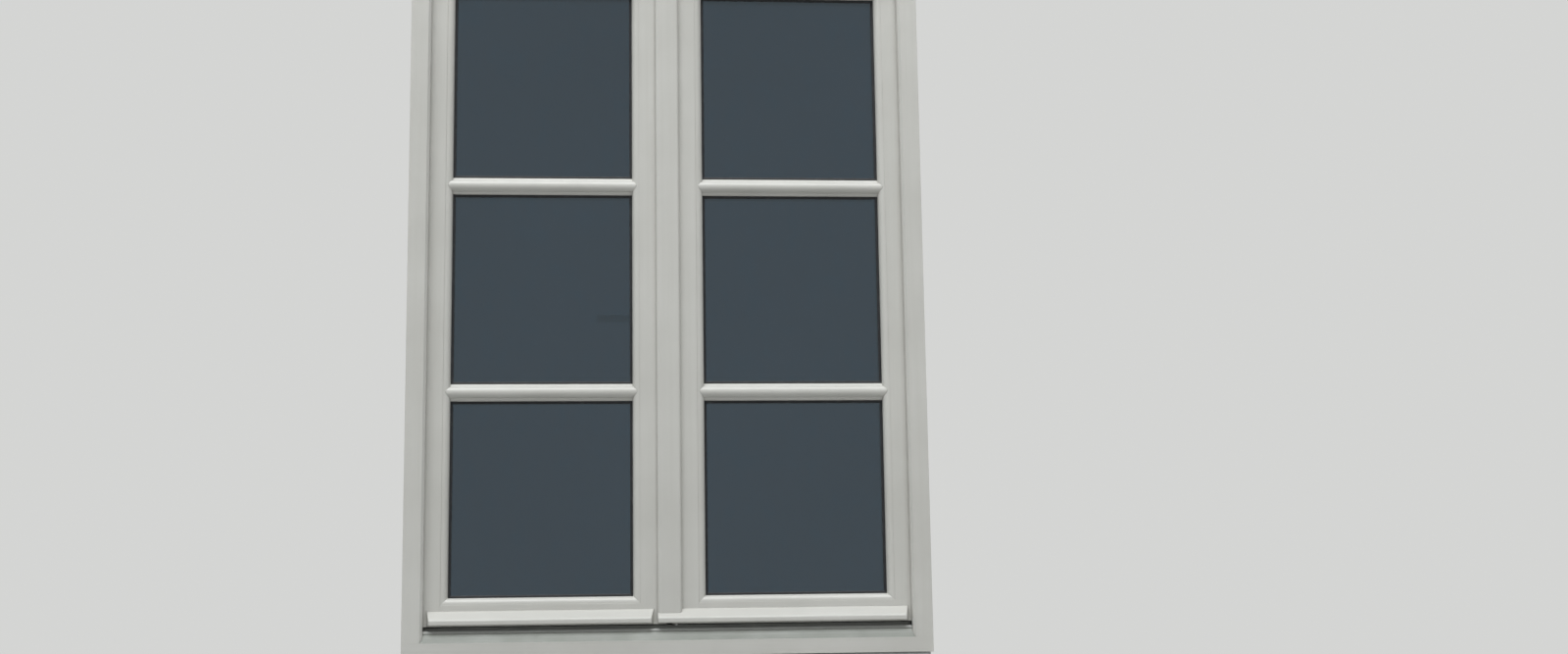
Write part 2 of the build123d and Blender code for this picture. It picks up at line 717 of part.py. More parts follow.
def inner_bar_section():
    half = BAR_WIDTH / 2
    top = glass_back + INNER_BAR_HEIGHT
    with BuildSketch() as section:
        with BuildLine():
            Polyline(
                (glass_back, -half),
                (glass_back + BEAD_FOOT, -half),
                (top, -half + INNER_BAR_BEVEL),
                (top, half - INNER_BAR_BEVEL),
                (glass_back + BEAD_FOOT, half),
                (glass_back, half),
                close=True,
            )
        make_face()
    return section.sketch


def make_bars(side):
    """Glazing bars of one leaf, their ends scribed over the mouldings and beads they meet."""
    name = side_name(side)
    left = min(side * pane_in, side * pane_out)
    for label, section, border in (
        ("outer_bars", outer_bar_section(), moulding_section()),
        ("inner_bars", inner_bar_section(), bead_section()),
    ):
        with BuildPart() as bars:
            for height in bar_heights:
                with BuildSketch(Plane(origin=(left - REBATE, 0, height), x_dir=Y_AXIS, z_dir=X_AXIS)):
                    add(section)
                extrude(amount=PANE_WIDTH + 2 * REBATE)
            for outward, edge, start in ((-1, left, pane_top), (1, left + PANE_WIDTH, pane_bottom)):
                with BuildSketch(stick_plane((outward, 0, 0), (edge, 0, start))):
                    add(border)
                extrude(amount=pane_top - pane_bottom, mode=Mode.SUBTRACT)
        write(bars, f"{name}_{label}")


def weather_bar_section():
    """Weather bar: slope, round nose, flat underside with a drip groove."""
    front = leaf_front - WEATHER_BAR_DEPTH
    with BuildSketch() as section:
        with BuildLine():
            Polyline(
                (leaf_front, WEATHER_BAR_BOTTOM),
                (leaf_front, WEATHER_BAR_TOP),
                (front + WEATHER_BAR_ROUND / 2, WEATHER_BAR_NOSE),
                (front, WEATHER_BAR_NOSE - WEATHER_BAR_ROUND),
                (front, WEATHER_BAR_BOTTOM),
                close=True,
            )
        make_face()
        nose = section.vertices().group_by(Axis.X)[0]
        fillet(nose, radius=WEATHER_BAR_ROUND / 2)
        with Locations(((front + leaf_front) / 2, WEATHER_BAR_BOTTOM)):
            Circle(DRIP_GROOVE, mode=Mode.SUBTRACT)
    return section.sketch


def make_weather_bar(side):
    """Weather bar of one leaf, its ends bevelled so that it clears its neighbours as it swings."""
    outer = side * (opening_x - WEATHER_BAR_SIDE_GAP)
    inner = weather_split - WEATHER_BAR_JOINT if side < 0 else weather_split
    inner_nose = inner - WEATHER_BAR_END_BEVEL if side < 0 else inner
    outer_nose = outer - side * WEATHER_BAR_END_BEVEL
    front = leaf_front - WEATHER_BAR_DEPTH
    low, high = sorted((outer, inner))
    with BuildPart() as weather_bar:
        with BuildSketch(Plane.YZ.offset(low)):
            add(weather_bar_section())
        extrude(amount=high - low)
        with BuildSketch():
            Polygon(
                (outer, leaf_front),
                (inner, leaf_front),
                (inner_nose, front),
                (outer_nose, front),
                align=None,
            )
        extrude(amount=WEATHER_BAR_TOP, mode=Mode.INTERSECT)
        if side > 0:
            back = (leaf_front - COVER_CLEARANCE, leaf_front)
            cover = block((inner, edge_x), back, (WEATHER_BAR_BOTTOM, WEATHER_BAR_TOP))
            add(cover, mode=Mode.SUBTRACT)
    write(weather_bar, f"{side_name(side)}_weather_bar")


def make_astragal():
    """Cover strip on the passive leaf, scribed on the slope of its weather bar."""
    front = leaf_front - ASTRAGAL_DEPTH
    half = ASTRAGAL_WIDTH / 2
    with BuildPart() as astragal:
        with BuildSketch(Plane.XY.offset(WEATHER_BAR_BOTTOM)) as plan:
            with Locations((0, (front + leaf_front) / 2)):
                Rectangle(ASTRAGAL_WIDTH, ASTRAGAL_DEPTH)
            fillet(plan.vertices().group_by(Axis.Y)[0], radius=ASTRAGAL_ROUND)
            with Locations(((edge_x - half) / 2, leaf_front)):
                Rectangle(half + edge_x, 2 * COVER_CLEARANCE, mode=Mode.SUBTRACT)
        extrude(amount=opening_top - ASTRAGAL_TOP_GAP - WEATHER_BAR_BOTTOM)
        with BuildSketch(Plane.YZ.offset(-half)):
            nose_y = leaf_front - WEATHER_BAR_DEPTH + WEATHER_BAR_ROUND / 2
            Polygon(
                (leaf_front, WEATHER_BAR_TOP),
                (nose_y, WEATHER_BAR_NOSE),
                (nose_y, 0),
                (leaf_front, 0),
                align=None,
            )
        extrude(amount=ASTRAGAL_WIDTH, mode=Mode.SUBTRACT)
    write(astragal, "astragal")


def make_seal(side):
    """Leaf seal under the lap: a closed ring on the active leaf, open at the meeting on the passive one."""
    outer_x = pane_out + hinge_lap - SEAL_FROM_EDGE
    meet = MEETING_LAP - (SEAL_FROM_EDGE if side < 0 else -LAP_SIDE_GAP)
    high = lap_top - SEAL_FROM_EDGE
    low = lap_bottom + SEAL_FROM_EDGE
    x_span = (-outer_x, meet) if side < 0 else (meet, outer_x)
    inner_start = x_span[0] + (SEAL_WIDTH if side < 0 else -SEAL_WIDTH)
    inner_x = (inner_start, x_span[1] - SEAL_WIDTH)
    plane = Plane(origin=(0, lap_front, 0), x_dir=X_AXIS, z_dir=(0, -1, 0))
    with BuildPart() as seal:
        with BuildSketch(plane):
            with Locations((sum(x_span) / 2, (low + high) / 2)):
                Rectangle(x_span[1] - x_span[0], high - low)
            with Locations((sum(inner_x) / 2, (low + high) / 2)):
                Rectangle(inner_x[1] - inner_x[0], high - low - 2 * SEAL_WIDTH, mode=Mode.SUBTRACT)
        extrude(amount=SEAL_HEIGHT)
    write(seal, f"{side_name(side)}_seal")


def rack_teeth(pitch_x, way, run):
    """Corner points of one rack's teeth, meshed at the handle's height and running on up or down."""
    half_tooth = tooth_pitch / 4 - BACKLASH / 2
    lean = tan(radians(PRESSURE_ANGLE))
    root = pitch_x + way * dedendum
    tip = pitch_x - way * addendum
    teeth = []
    for row in rack_rows:
        middle = HANDLE_HEIGHT + run * (row + 0.5) * tooth_pitch
        teeth.append(
            [
                (root, middle - half_tooth - dedendum * lean),
                (tip, middle - half_tooth + addendum * lean),
                (tip, middle + half_tooth - addendum * lean),
                (root, middle + half_tooth + dedendum * lean),
            ]
        )
    return teeth


def lock_plane(y):
    return Plane(origin=(0, y, 0), x_dir=X_AXIS, z_dir=(0, -1, 0))


def make_upper_rod():
    """Upper rod: rack beside the pinion, then a flat bar up the leaf's edge."""
    low = HANDLE_HEIGHT - rack_reach
    high = leaf_top - TOP_END_INSET
    with BuildPart() as rod:
        with BuildSketch(lock_plane(LOCK_Y - ROD_WIDTH / 2)):
            with Locations(((rod_in + rod_out) / 2, (low + high) / 2)):
                Rectangle(ROD_THICKNESS, high - low)
            for tooth in rack_teeth(pinion_x + pitch_radius, 1, -1):
                Polygon(*tooth, align=None)
        extrude(amount=-ROD_WIDTH)
    write(rod, "upper_rod")


def make_lower_rod():
    """Lower rod: rack behind the pinion, an arm below it, then a flat bar down the leaf's edge."""
    high = HANDLE_HEIGHT + rack_reach
    bottom = leaf_bottom + BOTTOM_END_INSET
    with BuildPart() as rod:
        with BuildSketch(lock_plane(LOCK_Y - ROD_WIDTH / 2)):
            with Locations(((strip_in + strip_out) / 2, (arm_bottom + high) / 2)):
                Rectangle(ROD_THICKNESS, high - arm_bottom)
            with Locations(((strip_out + rod_out) / 2, (arm_bottom + arm_top) / 2)):
                Rectangle(rod_out - strip_out, ARM_HEIGHT)
            with Locations(((rod_in + rod_out) / 2, (bottom + arm_top) / 2)):
                Rectangle(ROD_THICKNESS, arm_top - bottom)
            for tooth in rack_teeth(pinion_x - pitch_radius, -1, 1):
                Polygon(*tooth, align=None)
        extrude(amount=-ROD_WIDTH)
    write(rod, "lower_rod")


def involute(radius, base):
    """Angle of the involute of a base circle at a given radius."""
    return sqrt((radius / base) ** 2 - 1) - acos(base / radius)


def pinion_outline():
    """Corner points of the toothed outline, each flank in three steps along its involute."""
    base = pitch_radius * cos(radians(PRESSURE_ANGLE))
    root = pitch_radius - dedendum
    tip = pitch_radius + addendum
    half_tooth = (tooth_pitch / 4 - BACKLASH / 2) / pitch_radius + involute(pitch_radius, base)
    flank = [max(base, root) + (tip - max(base, root)) * share for share in (0, 0.5, 1)]
    points = []
    for tooth in range(PINION_TEETH):
        centre = 2 * pi * tooth / PINION_TEETH
        rising = [(radius, centre - half_tooth + involute(radius, base)) for radius in flank]
        falling = [(radius, 2 * centre - angle) for radius, angle in reversed(rising)]
        foot = [(root, centre - half_tooth)]
        heel = [(root, centre + half_tooth)]
        points += [(r * cos(a), r * sin(a)) for r, a in foot + rising + falling + heel]
    return points


def make_pinion():
    """Pinion of the lock with its two hubs and the square hole for the spindle."""
    with BuildPart() as pinion:
        with BuildSketch(lock_plane(LOCK_Y + PINION_WIDTH / 2)):
            with Locations((pinion_x, HANDLE_HEIGHT)):
                Polygon(*pinion_outline(), align=None)
        extrude(amount=PINION_WIDTH)
        with BuildSketch(lock_plane(LOCK_Y + case_half)):
            with Locations((pinion_x, HANDLE_HEIGHT)):
                Circle(PINION_HUB_RADIUS)
        extrude(amount=2 * case_half)
        with BuildSketch(lock_plane(LOCK_Y + case_half)):
            with Locations((pinion_x, HANDLE_HEIGHT)):
                Rectangle(SPINDLE_SIDE + SPINDLE_CLEARANCE, SPINDLE_SIDE + SPINDLE_CLEARANCE)
        extrude(amount=2 * case_half, mode=Mode.SUBTRACT)
    write(pinion, "pinion")


def make_gear_case():
    """Case of the lock, let into the stile: two side walls bored for the pinion, open to the faceplate."""
    inner_half = case_half - CASE_SIDE_WALL
    slot = (rod_in - CASE_CLEARANCE, case_right)
    with BuildPart() as gear_case:
        add(block((case_left, case_right), (LOCK_Y - case_half, LOCK_Y + case_half), (case_bottom, case_top)))
        add(
            block(
                (case_left + CASE_WALL, case_right),
                (LOCK_Y - inner_half, LOCK_Y + inner_half),
                (case_bottom + CASE_WALL, case_top - CASE_WALL),
            ),
            mode=Mode.SUBTRACT,
        )
        add(
            block(slot, (LOCK_Y - inner_half, LOCK_Y + inner_half), (case_bottom, case_top)),
            mode=Mode.SUBTRACT,
        )
        with BuildSketch(lock_plane(LOCK_Y + case_half)):
            with Locations((pinion_x, HANDLE_HEIGHT)):
                Circle(PINION_HUB_RADIUS + HUB_CLEARANCE)
        extrude(amount=2 * case_half, mode=Mode.SUBTRACT)
    write(gear_case, "gear_case")


def make_faceplate():
    """Long plate that closes the rod groove in the active leaf's edge."""
    middle = (leaf_bottom + leaf_top) / 2
    plane = Plane(origin=(-edge_x, LOCK_Y, middle), x_dir=Y_AXIS, z_dir=X_AXIS)
    with BuildPart() as faceplate:
        with BuildSketch(plane):
            SlotOverall(leaf_top - leaf_bottom - 2 * FACEPLATE_END, FACEPLATE_WIDTH, rotation=90)
        extrude(amount=-FACEPLATE_THICKNESS)
    write(faceplate, "faceplate")


def make_spindle():
    length = leaf_back + ROSE_THICKNESS + LEVER_STAND / 2 - (LOCK_Y - case_half)
    with BuildPart() as spindle:
        with BuildSketch(lock_plane(LOCK_Y - case_half)):
            with Locations((pinion_x, HANDLE_HEIGHT)):
                Rectangle(SPINDLE_SIDE, SPINDLE_SIDE)
        extrude(amount=-length)
    write(spindle, "spindle")


def make_rose():
    """Oval rose plate under the handle."""
    with BuildPart() as rose:
        with BuildSketch(lock_plane(leaf_back)):
            with Locations((pinion_x, HANDLE_HEIGHT)):
                SlotOverall(ROSE_HEIGHT, ROSE_WIDTH, rotation=90)
        extrude(amount=-ROSE_THICKNESS)
        chamfer(rose.faces().sort_by(Axis.Y)[-1].edges(), length=ROSE_CHAMFER)
        with BuildSketch(lock_plane(leaf_back)):
            with Locations((pinion_x, HANDLE_HEIGHT)):
                Circle(NECK_SPIGOT_RADIUS + HUB_CLEARANCE)
        extrude(amount=-ROSE_THICKNESS, mode=Mode.SUBTRACT)
    write(rose, "handle_rose")


def make_lever():
    """Handle: spigot in the rose, round neck, and a grip swept round one bend."""
    base = leaf_back + ROSE_THICKNESS + NECK_GAP
    grip_y = base + LEVER_STAND
    with BuildPart() as lever:
        with BuildSketch(lock_plane(base)):
            with Locations((pinion_x, HANDLE_HEIGHT)):
                Circle(NECK_RADIUS)
        extrude(amount=-(LEVER_STAND - LEVER_BEND))
        with BuildSketch(lock_plane(base)):
            with Locations((pinion_x, HANDLE_HEIGHT)):
                Circle(NECK_SPIGOT_RADIUS)
        extrude(amount=NECK_SPIGOT_LENGTH)
        with BuildLine(Plane.XY.offset(HANDLE_HEIGHT)) as path:
            Line((pinion_x, base + LEVER_STAND / 2), (pinion_x, grip_y - LEVER_BEND))
            RadiusArc((pinion_x, grip_y - LEVER_BEND), (pinion_x - LEVER_BEND, grip_y), -LEVER_BEND)
            Line((pinion_x - LEVER_BEND, grip_y), (pinion_x - LEVER_REACH, grip_y))
        with BuildSketch(lock_plane(base + LEVER_STAND / 2)) as grip:
            with Locations((pinion_x, HANDLE_HEIGHT)):
                Rectangle(LEVER_DEPTH, LEVER_HEIGHT)
            chamfer(grip.vertices(), length=LEVER_BEVEL)
        sweep(path=path.line)
        with BuildSketch(lock_plane(base - NECK_SPIGOT_LENGTH)):
            with Locations((pinion_x, HANDLE_HEIGHT)):
                Rectangle(SPINDLE_SIDE + SPINDLE_CLEARANCE, SPINDLE_SIDE + SPINDLE_CLEARANCE)
        extrude(amount=-(NECK_SPIGOT_LENGTH + LEVER_STAND / 2), mode=Mode.SUBTRACT)
        chamfer(lever.faces().sort_by(Axis.X)[0].edges(), length=LEVER_CHAMFER)
    write(lever, "handle_lever")


def make_edge_bolt(top):
    """Edge bolt of the passive leaf: a flat bar with a thumb piece, and the plate that it slides behind."""
    name = "upper" if top else "lower"
    way = 1 if top else -1
    leaf_end = leaf_top if top else leaf_bottom
    end = leaf_top - TOP_END_INSET if top else leaf_bottom + BOTTOM_END_INSET
    thumb = end - way * THUMB_FROM_END
    with BuildPart() as bolt:
        add(
            block(
                (bolt_in, bolt_in + BOLT_THICKNESS),
                (LOCK_Y - BOLT_WIDTH / 2, LOCK_Y + BOLT_WIDTH / 2),
                (end, end - way * BOLT_LENGTH),
            )
        )
        add(
            block(
                (edge_x - THUMB_PROUD, bolt_in),
                (LOCK_Y - THUMB_WIDTH / 2, LOCK_Y + THUMB_WIDTH / 2),
                (thumb, thumb - way * THUMB_LENGTH),
            )
        )
    write(bolt, f"{name}_bolt")
    slot_half = THUMB_WIDTH / 2 + GROOVE_CLEARANCE
    slot_end = thumb + way * (BOLT_TRAVEL + GROOVE_CLEARANCE)
    slot_start = thumb - way * (THUMB_LENGTH + GROOVE_CLEARANCE)
    with BuildPart() as plate:
        add(
            block(
                (edge_x, edge_x + FACEPLATE_THICKNESS),
                (LOCK_Y - FACEPLATE_WIDTH / 2, LOCK_Y + FACEPLATE_WIDTH / 2),
                (leaf_end, leaf_end - way * BOLT_PLATE_LENGTH),
            )
        )
        add(
            block(
                (edge_x, edge_x + FACEPLATE_THICKNESS),
                (LOCK_Y - slot_half, LOCK_Y + slot_half),
                (slot_start, slot_end),
            ),
            mode=Mode.SUBTRACT,
        )
    write(plate, f"{name}_bolt_plate")


for side in (-1, 1):
    make_jamb(side)
    make_leaf_timber(side)
    make_glass(side)
    make_bars(side)
    make_weather_bar(side)
    make_seal(side)
    for height, place in zip(hinge_heights, ("lower", "upper")):
        make_hinge(side, height, place)
make_head()
make_sill()
make_rain_rail()
make_keep(True)
make_keep(False)
make_astragal()
make_upper_rod()
make_lower_rod()
make_pinion()
make_gear_case()
make_faceplate()
make_spindle()
make_rose()
make_lever()
for top in (False, True):
    make_edge_bolt(top)
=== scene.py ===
"""Dresses the two-leaf casement window: materials, gaskets, screw heads, stage, camera and lamps."""

import json
import math

import bmesh
import bpy
from mathutils import Euler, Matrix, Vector


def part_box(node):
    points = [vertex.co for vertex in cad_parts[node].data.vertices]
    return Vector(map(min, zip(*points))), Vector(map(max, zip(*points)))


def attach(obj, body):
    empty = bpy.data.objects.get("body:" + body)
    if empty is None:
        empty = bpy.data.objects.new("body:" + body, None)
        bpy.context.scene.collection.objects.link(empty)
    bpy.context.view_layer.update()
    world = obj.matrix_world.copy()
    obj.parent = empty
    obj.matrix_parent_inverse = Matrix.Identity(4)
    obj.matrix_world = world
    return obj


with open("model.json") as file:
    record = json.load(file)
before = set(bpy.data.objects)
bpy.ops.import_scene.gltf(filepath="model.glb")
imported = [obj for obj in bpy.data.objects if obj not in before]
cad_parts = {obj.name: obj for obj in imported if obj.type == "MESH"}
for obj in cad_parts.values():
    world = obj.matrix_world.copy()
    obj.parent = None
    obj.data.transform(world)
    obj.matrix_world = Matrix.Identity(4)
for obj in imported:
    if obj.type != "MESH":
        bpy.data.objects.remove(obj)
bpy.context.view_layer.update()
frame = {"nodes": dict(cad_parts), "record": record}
nodes = frame["nodes"]

# Lights of a leaf, in metres: how far its glass runs under the timber, and the bars between them
GLASS_COVER = 0.011
BAR_WIDTH = 0.035
PANE_ROWS = 3

# Glazing gaskets; the profile is in shares of the reach over the glass and of the height above it
GASKET_TUCK = 0.0006
# The gaskets reach further over the glass than a real bead, so that their black also stands as painted shade
# along the glass edges
GASKET_AND_SHADE_REACH = 0.0052
GASKET_HEIGHT = 0.0019
GASKET_LIFT = 0.00005
GASKET_PROFILE = ((0.35, 1.0), (0.75, 0.72), (1.0, 0.2))

# Screw heads; each ring of the dome is a share of the radius and a height
HEAD_RADIUS = 0.0034
HEAD_EDGE = 0.00025
HEAD_DOME = 0.0007
HEAD_RINGS = ((1.0, -HEAD_EDGE), (1.0, HEAD_EDGE), (0.72, HEAD_DOME * 0.8), (0.30, HEAD_DOME))
HEAD_STEPS = 20
SLOT_HALF = 0.00045
SLOT_LEAN = 0.35
SLOT_LEAN_STEP = 1.1

# Screws, from the ends of their plates inwards, and from the ends of the gear case outwards
FACEPLATE_SCREW = 0.018
BOLT_PLATE_SCREW = 0.009
ROSE_SCREW = 0.0068
KEEP_SCREW = 0.0068
CASE_SCREW = 0.008

# Paint: its colours, how strongly each one shows, its relief and how far its arrises look rounded
PAINT_DEEP = (0.548, 0.540, 0.503, 1)
PAINT_PALE = (0.593, 0.585, 0.548, 1)
PAINT_GRAIN = (0.500, 0.490, 0.445, 1)
PAINT_WORN = (0.400, 0.370, 0.310, 1)
# Grime colour: dirt together with painted shade in corners and under overhangs
PAINT_GRIME_AND_SHADE = (0.260, 0.245, 0.210, 1)
# Dirty film and painted shade on the sill's up-facing slopes under the weather bars
SLOPE_FILM_AND_SHADE = (0.115, 0.132, 0.105, 1)
GRAIN_SHARE = 0.22
WEAR_SHARE = 0.45
GRIME_AND_SHADE_SHARE = 0.30
SLOPE_FILM_AND_SHADE_SHARE = 0.95
GRAIN_DEPTH = 0.00030
STROKE_DEPTH = 0.000045
PAINT_ARRIS = 0.0009
NOSE_ARRIS = 0.004

# Glass: its tint painted dark, standing in for the shade of an unlit room behind the pane; blue in
# reflection and coated, as under a pale sky
OUTER_TINT = (0.085, 0.115, 0.150, 1)
INNER_TINT = (0.110, 0.135, 0.165, 1)
GLASS_REFLECTION = (0.52, 0.80, 1.0, 1)
GLASS_IOR = 1.6
GLASS_CLOUD = 1.12
WAVE_DEPTH = 0.00020

# Metal: rubbed arrises, and dirt with painted shade in the corners
METAL_RUBBED = (0.86, 0.86, 0.85, 1)
METAL_GRIME_AND_SHADE = (0.10, 0.09, 0.08, 1)
METAL_ARRIS = 0.0004
BRUSH_DEPTH = 0.000012

# Stage, in metres
FLOOR_Z = -0.040
FLOOR_HALF = 30.0
FLOOR_FADE_START = 1.2
FLOOR_FADE_END = 5.0
FLOOR_COLOUR = (0.46, 0.46, 0.452, 1)
FLOOR_CLOUD = 0.97
BLOCK_WIDTH = 1.04
BLOCK_DEPTH = 0.064
BLOCK_GAP = 0.0004
BLOCK_ARRIS = 0.003
BACKGROUND = (0.660, 0.665, 0.655, 1)

# Camera, from the vanishing points of the photograph; its turn is in degrees
CAMERA_PLACE = (-0.130, -4.0175, -0.034)
CAMERA_TURN = (99.80043, 0.88785, -5.08342)
CAMERA_LENS = 45.72
SENSOR_WIDTH = 36.0

# Light: both lamps aim at about the middle of the window
LAMP_TARGET = (0, 0, 0.7)
SKY_COLOUR = (0.93, 0.96, 1.0, 1)
SKY_STRENGTH = 0.34


def along(axis, fine, coarse):
    """Scales of a texture that is stretched along one axis."""
    return tuple(coarse if name == axis else fine for name in "XYZ")


def scaled(colour, factor):
    """A colour made lighter or darker by a factor."""
    return tuple(channel * factor for channel in colour[:3]) + (1,)


class Shader:
    """A material's node tree, with short calls for the nodes that its surfaces use."""

    def __init__(self, name):
        self.material = bpy.data.materials.new(name)
        self.material.use_nodes = True
        self.tree = self.material.node_tree
        self.tree.nodes.clear()
        output = self.node("OutputMaterial")
        self.surface = self.node("BsdfPrincipled")
        self.feed(output.inputs["Surface"], self.surface.outputs["BSDF"])
        self.place = self.node("TexCoord").outputs["Object"]

    def node(self, kind):
        return self.tree.nodes.new("ShaderNode" + kind)

    def feed(self, socket, thing):
        """Sets a socket to a number or colour, or links it to another node's output."""
        if isinstance(thing, bpy.types.NodeSocket):
            self.tree.links.new(thing, socket)
        else:
            socket.default_value = thing

    def set(self, **sockets):
        """Feeds the sockets of the surface; an underscore stands for a space in a socket's name."""
        for name, thing in sockets.items():
            self.feed(self.surface.inputs[name.replace("_", " ")], thing)

    def noise(self, scale, detail=2.0, roughness=0.5):
        """Noise in the object's space, with its own scale on each axis."""
        stretch = self.node("Mapping")
        self.feed(stretch.inputs["Vector"], self.place)
        self.feed(stretch.inputs["Scale"], scale)
        node = self.node("TexNoise")
        self.feed(node.inputs["Vector"], stretch.outputs["Vector"])
        self.feed(node.inputs["Scale"], 1.0)
        self.feed(node.inputs["Detail"], detail)
        self.feed(node.inputs["Roughness"], roughness)
        return node.outputs["Fac"]

    def ramp(self, factor, low, high, start=0.0, end=1.0):
        """Start where the factor is low, end where it is high, and straight between them."""
        node = self.node("MapRange")
        self.feed(node.inputs["Value"], factor)
        self.feed(node.inputs["From Min"], low)
        self.feed(node.inputs["From Max"], high)
        self.feed(node.inputs["To Min"], start)
        self.feed(node.inputs["To Max"], end)
        return node.outputs["Result"]

    def product(self, first, second):
        node = self.node("Math")
        node.operation = "MULTIPLY"
        self.feed(node.inputs[0], first)
        self.feed(node.inputs[1], second)
        return node.outputs["Value"]

    def mix(self, factor, first, second):
        node = self.node("Mix")
        node.data_type = "RGBA"
        self.feed(node.inputs["Factor"], factor)
        self.feed(node.inputs["A"], first)
        self.feed(node.inputs["B"], second)
        return node.outputs["Result"]

    def stained(self, colour, stain, mask, share):
        """The colour with a stain over it, where the mask is 1 at the given share."""
        return self.mix(self.product(mask, share), colour, stain)

    def rounded(self, radius):
        """The surface's normal, as if its arrises had this radius."""
        node = self.node("Bevel")
        node.samples = 6
        self.feed(node.inputs["Radius"], radius)
        return node.outputs["Normal"]

    def bump(self, height, distance, normal):
        node = self.node("Bump")
        self.feed(node.inputs["Strength"], 1.0)
        self.feed(node.inputs["Distance"], distance)
        self.feed(node.inputs["Height"], height)
        self.feed(node.inputs["Normal"], normal)
        return node.outputs["Normal"]

    def crevice_shade(self, distance):
        """1 in corners and under overhangs, 0 on open surfaces: the mask for painted shade there."""
        node = self.node("AmbientOcclusion")
        node.samples = 8
        self.feed(node.inputs["Distance"], distance)
        return self.ramp(node.outputs["AO"], 0.35, 0.85, 1.0, 0.0)

    def edge(self, rounded):
        """1 along arrises, 0 on flat faces, from how far the rounded normal leans."""
        node = self.node("VectorMath")
        node.operation = "DOT_PRODUCT"
        self.feed(node.inputs[0], self.node("NewGeometry").outputs["True Normal"])
        self.feed(node.inputs[1], rounded)
        return self.ramp(node.outputs["Value"], 0.99, 0.86)

    def upward(self):
        """1 on slopes that face up, 0 on upright faces."""
        split = self.node("SeparateXYZ")
        self.feed(split.inputs[0], self.node("NewGeometry").outputs["Normal"])
        return self.ramp(split.outputs["Z"], 0.15, 0.55)


def paint(name, axis, film_and_shade=0.0, arris_radius=PAINT_ARRIS):
    """Brushed semi-gloss paint on timber, its grain along one axis; its third argument darkens up-facing
    slopes with a dirty film and painted shade.
    """
    shader = Shader(name)
    mottle = shader.ramp(shader.noise((5.0, 5.0, 5.0), 3.0), 0.35, 0.65)
    stroke = shader.noise(along(axis, 950.0, 9.0), 2.0, 0.6)
    grain = shader.noise(along(axis, 110.0, 2.2), 3.0, 0.55)
    arris = shader.rounded(arris_radius)
    speck = shader.ramp(shader.noise((160.0, 160.0, 60.0), 4.0, 0.7), 0.52, 0.72)
    worn = shader.product(shader.edge(arris), speck)
    dust = shader.ramp(shader.noise((38.0, 38.0, 22.0), 4.0, 0.65), 0.30, 0.75, 0.25, 1.0)
    # Dirt and painted shade in corners and under overhangs, broken up by patches of dust
    grime_and_shade = shader.product(shader.crevice_shade(0.010), dust)
    colour = shader.mix(mottle, PAINT_DEEP, PAINT_PALE)
    colour = shader.mix(shader.ramp(grain, 0.35, 0.75, 0.0, GRAIN_SHARE), colour, PAINT_GRAIN)
    colour = shader.stained(colour, PAINT_WORN, worn, WEAR_SHARE)
    colour = shader.stained(colour, PAINT_GRIME_AND_SHADE, grime_and_shade, GRIME_AND_SHADE_SHARE)
    # A dirty film and painted shade on up-facing slopes
    if film_and_shade > 0.0:
        patchy = shader.ramp(shader.noise((7.0, 30.0, 30.0), 4.0, 0.6), 0.25, 0.75, 0.86, 1.0)
        colour = shader.stained(colour, SLOPE_FILM_AND_SHADE, shader.product(shader.upward(), patchy), film_and_shade)
    relief = shader.bump(grain, GRAIN_DEPTH, shader.bump(stroke, STROKE_DEPTH, arris))
    gloss = shader.ramp(shader.noise((22.0, 22.0, 9.0), 3.0), 0.3, 0.7, 0.34, 0.47)
    shader.set(Base_Color=colour, Roughness=gloss, Normal=relief, Coat_Weight=0.12, Coat_Roughness=0.30)
    return shader.material


def float_glass(name, tint):
    """Float glass with a faint roller wave, a haze of dust and a dark tint that stands in for the shade of
    an unlit room behind it.
    """
    shader = Shader(name)
    wave = shader.noise((3.0, 1.0, 7.0), 1.0)
    cloud = shader.ramp(shader.noise((1.5, 1.5, 1.1), 2.0), 0.3, 0.7)
    flat = shader.node("NewGeometry").outputs["Normal"]
    # The dark tint is painted shade of an unlit room behind the glass
    shader.set(
        Base_Color=shader.mix(cloud, tint, scaled(tint, GLASS_CLOUD)),
        Roughness=shader.ramp(shader.noise((26.0, 26.0, 11.0), 5.0, 0.7), 0.45, 0.9, 0.015, 0.075),
        Normal=shader.bump(wave, WAVE_DEPTH, flat),
        Transmission_Weight=1.0,
        IOR=GLASS_IOR,
        Specular_Tint=GLASS_REFLECTION,
        Coat_Weight=1.0,
        Coat_Roughness=0.02,
    )
    return shader.material


def metal(name, colour, dark, axis, rough, metallic=1.0):
    """Brushed or anodised metal with lines along one axis and rubbed arrises."""
    shader = Shader(name)
    line = shader.noise(along(axis, 2400.0, 40.0), 2.0, 0.6)
    cloud = shader.ramp(shader.noise((30.0, 30.0, 30.0), 4.0, 0.6), 0.3, 0.75)
    arris = shader.rounded(METAL_ARRIS)
    tone = shader.stained(colour, dark, cloud, 0.5)
    tone = shader.stained(tone, METAL_RUBBED, shader.edge(arris), 0.35)
    # Dirt and painted shade in the corners
    tone = shader.stained(tone, METAL_GRIME_AND_SHADE, shader.crevice_shade(0.004), 0.5)
    shader.set(
        Base_Color=tone,
        Metallic=metallic,
        Roughness=shader.ramp(line, 0.3, 0.7, rough - 0.07, rough + 0.08),
        Normal=shader.bump(line, BRUSH_DEPTH, arris),
    )
    return shader.material


def dull(name, colour, pale, rough, grain_scale):
    """Rubber or moulded plastic with a fine grain and dust."""
    shader = Shader(name)
    grain = shader.noise((grain_scale,) * 3, 3.0, 0.6)
    dust = shader.ramp(shader.noise((55.0, 55.0, 55.0), 5.0, 0.7), 0.5, 0.85, 0.0, 0.5)
    shader.set(
        Base_Color=shader.mix(dust, colour, pale),
        Roughness=shader.ramp(grain, 0.3, 0.7, rough - 0.06, rough + 0.08),
        Normal=shader.bump(grain, 0.00004, shader.rounded(0.0003)),
        Specular_IOR_Level=0.35,
    )
    return shader.material


